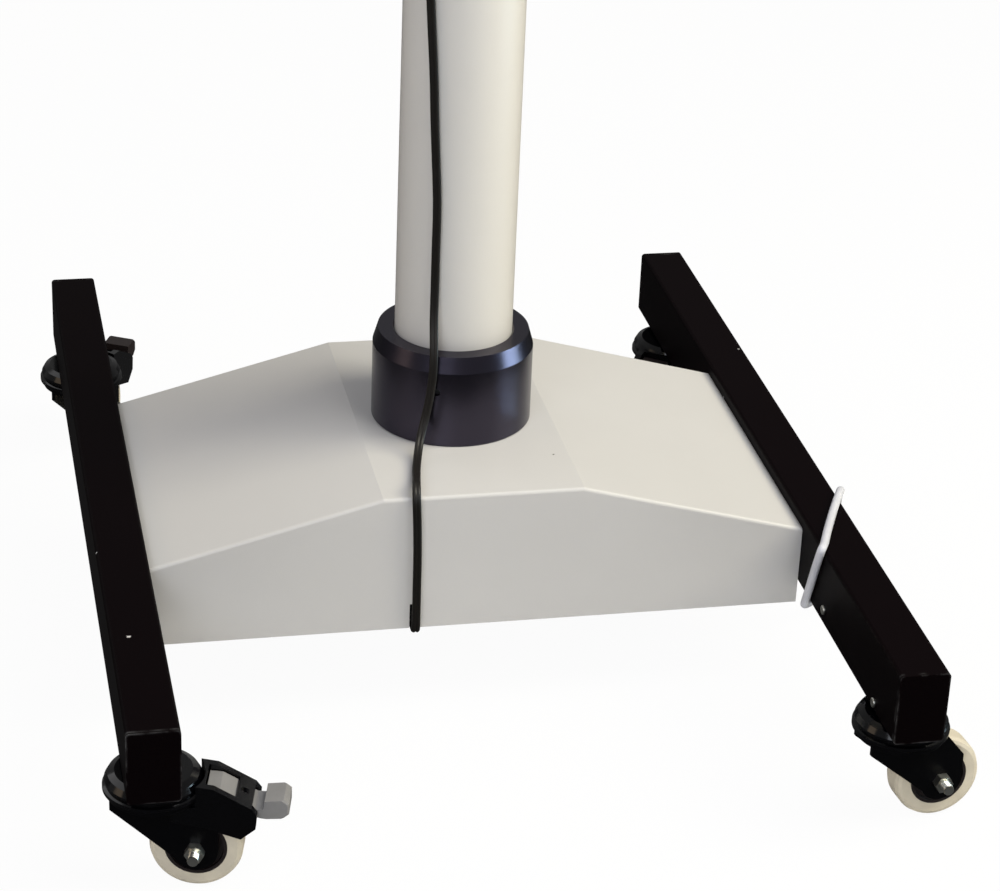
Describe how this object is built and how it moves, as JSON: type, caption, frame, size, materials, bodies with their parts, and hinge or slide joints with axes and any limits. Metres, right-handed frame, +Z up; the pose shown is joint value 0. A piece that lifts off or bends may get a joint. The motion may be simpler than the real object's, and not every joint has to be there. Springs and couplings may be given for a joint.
{
  "type": "surgical microscope",
  "caption": "Surgical microscope on a rolling floor stand: H-shaped base with lockable castors, tall column, folding spring-balance arm and a tilting binocular head.",
  "frame": {"origin": "on the floor, in the middle of the footprint's outline, without the free cords", "axes": "+Z up along the column, -Y to the front where the eyepieces are, +X to the right"},
  "size_m": [0.6854, 0.844, 1.4373],
  "materials": {
    "black_leg_paint": "satin black paint",
    "bare_steel": "bare steel",
    "cover_paint": "gloss light grey paint",
    "collar_black": "satin blue-black",
    "zinc": "bright zinc plate",
    "column_paint": "gloss cream paint",
    "knob_black": "satin black moulding",
    "cord_black": "dark flexible sleeve",
    "lead_white": "white flexible sleeve",
    "plug_white": "white moulding",
    "fork_black": "gloss black stove enamel",
    "castor_black": "gloss black",
    "nylon_white": "white nylon",
    "hub_black": "satin black plastic",
    "lever_grey": "light grey moulding",
    "arm_paint": "gloss cream paint on cast aluminium",
    "box_plastic": "fine textured cream moulding",
    "arm_black": "satin black anodised",
    "head_paint": "gloss cream paint",
    "optic_black": "satin black anodised",
    "lens": "coated glass",
    "grip_rubber": "ribbed rubber"
  },
  "bodies": {
    "stand": {"leg_left": "black_leg_paint", "leg_right": "black_leg_paint", "leg_end_caps": "black_leg_paint", "cross_beams": "black_leg_paint", "foot_plate": "bare_steel", "base_cover": "cover_paint", "collar": "collar_black", "base_screws": "zinc", "column_tube": "column_paint", "castor_stems": "zinc", "column_bearing": "bare_steel", "column_gland": "knob_black", "base_glands": "knob_black", "column_cord": "cord_black", "mains_lead": "lead_white", "mains_coil": "lead_white", "mains_plug": "plug_white"},
    "castor_front_left": {"castor_fork_front_left": "fork_black", "castor_hood_front_left": "castor_black", "castor_axle_front_left": "zinc", "brake_housing_front_left": "castor_black"},
    "wheel_front_left": {"castor_wheel_front_left": "nylon_white", "castor_hub_front_left": "hub_black"},
    "brake_front_left": {"brake_lever_front_left": "lever_grey"},
    "castor_front_right": {"castor_fork_front_right": "fork_black", "castor_hood_front_right": "castor_black", "castor_axle_front_right": "zinc"},
    "wheel_front_right": {"castor_wheel_front_right": "nylon_white", "castor_hub_front_right": "hub_black"},
    "castor_rear_left": {"castor_fork_rear_left": "fork_black", "castor_hood_rear_left": "castor_black", "castor_axle_rear_left": "zinc", "brake_housing_rear_left": "castor_black"},
    "wheel_rear_left": {"castor_wheel_rear_left": "nylon_white", "castor_hub_rear_left": "hub_black"},
    "brake_rear_left": {"brake_lever_rear_left": "lever_grey"},
    "castor_rear_right": {"castor_fork_rear_right": "fork_black", "castor_hood_rear_right": "castor_black", "castor_axle_rear_right": "zinc", "brake_housing_rear_right": "castor_black"},
    "wheel_rear_right": {"castor_wheel_rear_right": "nylon_white", "castor_hub_rear_right": "hub_black"},
    "brake_rear_right": {"brake_lever_rear_right": "lever_grey"},
    "swing_arm": {"swing_arm": "arm_paint", "control_box": "box_plastic"},
    "dimmer": {"dimmer_knob": "knob_black"},
    "swing_lock": {"swing_lock_knob": "knob_black"},
    "elbow": {"elbow_block": "arm_paint"},
    "balance_arm": {"balance_upper_link": "arm_paint"},
    "lower_link": {"balance_lower_link": "arm_black"},
    "end_block": {"end_block": "arm_paint"},
    "yoke": {"head_yoke": "arm_paint"},
    "head": {"microscope_body": "head_paint", "objective_barrel": "optic_black", "objective_lens": "lens", "binocular_housing": "head_paint", "eyepieces": "optic_black", "handles": "grip_rubber"},
    "drum": {"magnification_knobs": "knob_black"},
    "focus": {"focus_ring": "knob_black"}
  },
  "joints": [
    {"name": "swivel_front_left", "type": "hinge", "parent": "stand", "child": "castor_front_left", "pos_m": [-0.30662, -0.37301, 0.085], "axis": [0, 0, 1], "continuous": true},
    {"name": "spin_front_left", "type": "hinge", "parent": "castor_front_left", "child": "wheel_front_left", "pos_m": [-0.27154, -0.38111, 0.035], "axis": [0.225, 0.9744, 0], "continuous": true},
    {"name": "brake_front_left", "type": "hinge", "parent": "castor_front_left", "child": "brake_front_left", "pos_m": [-0.25693, -0.38448, 0.078], "axis": [0.225, 0.9744, 0], "range_deg": [0, 15]},
    {"name": "swivel_front_right", "type": "hinge", "parent": "stand", "child": "castor_front_right", "pos_m": [0.27138, -0.37301, 0.085], "axis": [0, 0, 1], "continuous": true},
    {"name": "spin_front_right", "type": "hinge", "parent": "castor_front_right", "child": "wheel_front_right", "pos_m": [0.30718, -0.36924, 0.035], "axis": [-0.1045, 0.9945, 0], "continuous": true},
    {"name": "swivel_rear_left", "type": "hinge", "parent": "stand", "child": "castor_rear_left", "pos_m": [-0.30662, 0.32399, 0.085], "axis": [0, 0, 1], "continuous": true},
    {"name": "spin_rear_left", "type": "hinge", "parent": "castor_rear_left", "child": "wheel_rear_left", "pos_m": [-0.28972, 0.35578, 0.035], "axis": [-0.8829, 0.4695, 0], "continuous": true},
    {"name": "brake_rear_left", "type": "hinge", "parent": "castor_rear_left", "child": "brake_rear_left", "pos_m": [-0.28268, 0.36902, 0.078], "axis": [-0.8829, 0.4695, 0], "range_deg": [0, 15]},
    {"name": "swivel_rear_right", "type": "hinge", "parent": "stand", "child": "castor_rear_right", "pos_m": [0.27138, 0.32399, 0.085], "axis": [0, 0, 1], "continuous": true},
    {"name": "spin_rear_right", "type": "hinge", "parent": "castor_rear_right", "child": "wheel_rear_right", "pos_m": [0.25073, 0.2945, 0.035], "axis": [0.8192, -0.5736, 0], "continuous": true},
    {"name": "brake_rear_right", "type": "hinge", "parent": "castor_rear_right", "child": "brake_rear_right", "pos_m": [0.24213, 0.28222, 0.078], "axis": [0.8192, -0.5736, 0], "range_deg": [0, 15]},
    {"name": "swing_turn", "type": "hinge", "parent": "stand", "child": "swing_arm", "pos_m": [-0.01762, -0.01801, 1.128], "axis": [0, 0, 1], "range_deg": [-170, 170]},
    {"name": "swing_lock_turn", "type": "hinge", "parent": "swing_arm", "child": "swing_lock", "pos_m": [-0.06962, -0.01801, 1.12815], "axis": [-1, 0, 0], "range_deg": [0, 180]},
    {"name": "dimmer_turn", "type": "hinge", "parent": "swing_arm", "child": "dimmer", "pos_m": [-0.06762, 0.13399, 1.06675], "axis": [-1, 0, 0], "range_deg": [0, 270]},
    {"name": "elbow_turn", "type": "hinge", "parent": "swing_arm", "child": "elbow", "pos_m": [-0.01762, 0.32199, 1.2], "axis": [0, 0, 1], "range_deg": [-150, 150]},
    {"name": "arm_pitch", "type": "hinge", "parent": "elbow", "child": "balance_arm", "pos_m": [-0.01762, 0.32199, 1.4123], "axis": [1, 0, 0], "range_deg": [-25, 22]},
    {"name": "lower_link_pitch", "type": "hinge", "parent": "elbow", "child": "lower_link", "pos_m": [-0.01762, 0.32199, 1.3523], "axis": [1, 0, 0], "range_deg": [-25, 22]},
    {"name": "levelling", "type": "hinge", "parent": "balance_arm", "child": "end_block", "pos_m": [-0.01762, -0.23801, 1.4123], "axis": [1, 0, 0], "range_deg": [-22, 25]},
    {"name": "head_turn", "type": "hinge", "parent": "end_block", "child": "yoke", "pos_m": [-0.01762, -0.23801, 1.27], "axis": [0, 0, 1], "range_deg": [-135, 135]},
    {"name": "head_tilt", "type": "hinge", "parent": "yoke", "child": "head", "pos_m": [-0.01762, -0.23801, 1.166], "axis": [1, 0, 0], "range_deg": [-35, 60]},
    {"name": "magnification_turn", "type": "hinge", "parent": "head", "child": "drum", "pos_m": [-0.01762, -0.22401, 1.121], "axis": [1, 0, 0], "continuous": true},
    {"name": "focus_turn", "type": "hinge", "parent": "head", "child": "focus", "pos_m": [-0.01762, -0.23801, 1.0675], "axis": [0, 0, 1], "range_deg": [-120, 120]}
  ],
  "couplings": [
    {"joint": "lower_link_pitch", "follows": "arm_pitch", "ratio": 1},
    {"joint": "levelling", "follows": "arm_pitch", "ratio": -1}
  ]
}
